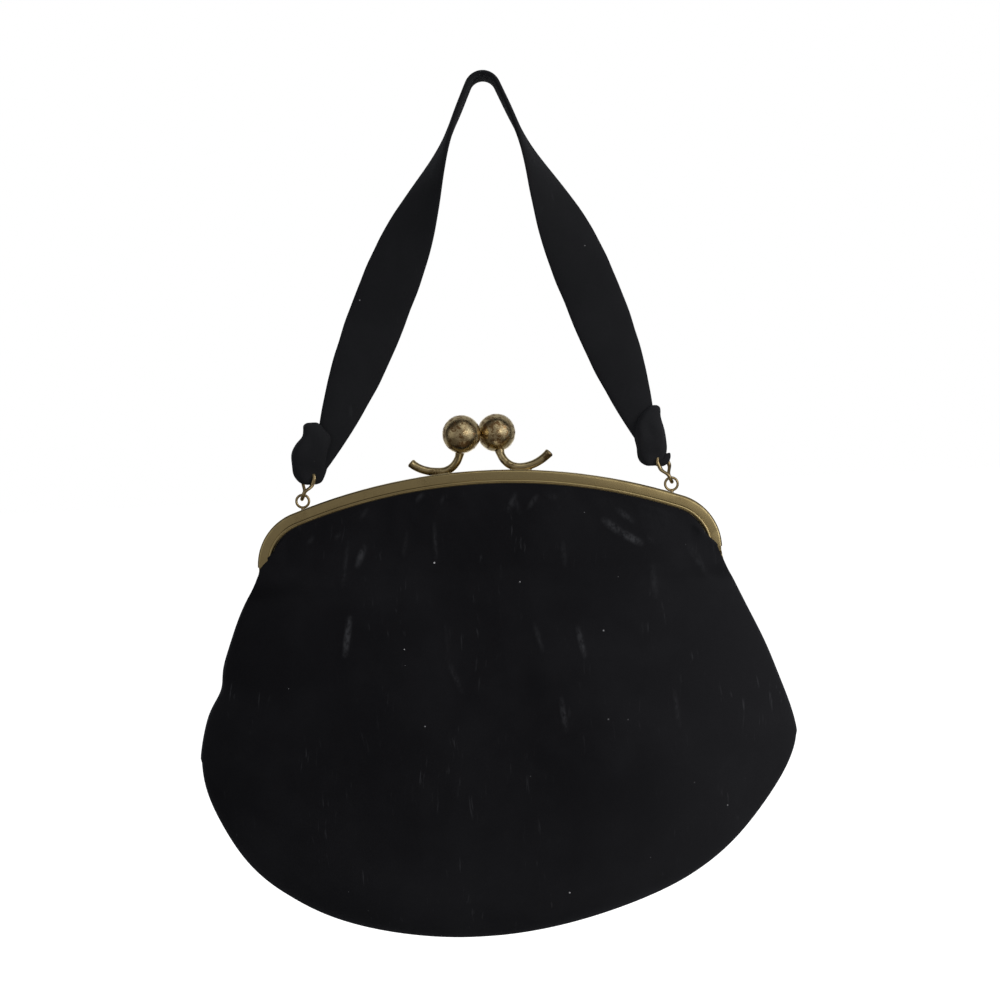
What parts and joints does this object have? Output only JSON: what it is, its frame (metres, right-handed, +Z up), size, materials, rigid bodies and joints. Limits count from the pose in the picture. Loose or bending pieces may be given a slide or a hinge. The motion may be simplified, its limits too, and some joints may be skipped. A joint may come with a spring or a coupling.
{
  "type": "kiss lock frame purse",
  "caption": "Velvet evening purse: an arched metal frame with a crossing ball clasp over a gathered, rounded pouch, hanging from a twisted ribbon strap on links.",
  "frame": {"origin": "under the middle of the strap's arch, where a hook or hand carries the purse", "axes": "+Z up along the hanging purse, +Y towards its back, so the front faces -Y; +X along the frame's hinge axis, to the right seen from the front"},
  "size_m": [0.226, 0.056, 0.3272],
  "materials": {
    "frame_brass": "aged satin",
    "rivet_brass": "aged satin",
    "clasp_brass": "aged semi-gloss",
    "ball_brass": "aged polish",
    "link_brass": "aged satin",
    "strap_velvet": "velvet pile",
    "bag_velvet": "velvet pile",
    "paper_cord": "matte",
    "felt": "matte felt",
    "lining_satin": "satin weave"
  },
  "bodies": {
    "strap": {"strap": "strap_velvet"},
    "left_link": {"left_link": "link_brass"},
    "right_link": {"right_link": "link_brass"},
    "back_frame": {"back_rail": "frame_brass", "left_hinge_rivet": "rivet_brass", "right_hinge_rivet": "rivet_brass", "back_kiss_arm": "clasp_brass", "back_arm_foot": "clasp_brass", "back_kiss_ball": "ball_brass", "left_eyelet": "link_brass", "right_eyelet": "link_brass", "back_channel_cord": "paper_cord", "back_panel": "bag_velvet", "front_panel": "bag_velvet", "back_interlining": "felt", "front_interlining": "felt", "back_lining": "lining_satin", "front_lining": "lining_satin"},
    "front_frame": {"front_rail": "frame_brass", "front_kiss_arm": "clasp_brass", "front_arm_foot": "clasp_brass", "front_kiss_ball": "ball_brass", "front_channel_cord": "paper_cord", "mouth_lining": "lining_satin"}
  },
  "joints": [
    {"name": "strap_swing", "type": "hinge", "parent": "strap", "child": "back_frame", "pos_m": [-0.0055, 0, -0.1543], "axis": [1, 0, 0], "range_deg": [-90, 90]},
    {"name": "frame_hinge", "type": "hinge", "parent": "back_frame", "child": "front_frame", "pos_m": [-0.0055, -0.0024, -0.1861], "axis": [1, 0, 0], "range_deg": [0, 100], "deforming": ["front_panel"]},
    {"name": "left_link_tilt", "type": "hinge", "parent": "strap", "child": "left_link", "pos_m": [-0.07192, 0, -0.14584], "axis": [0, 1, 0], "range_deg": [-2.5, 2.5]},
    {"name": "right_link_tilt", "type": "hinge", "parent": "strap", "child": "right_link", "pos_m": [0.06092, 0, -0.14584], "axis": [0, 1, 0], "range_deg": [-2.5, 2.5]}
  ]
}
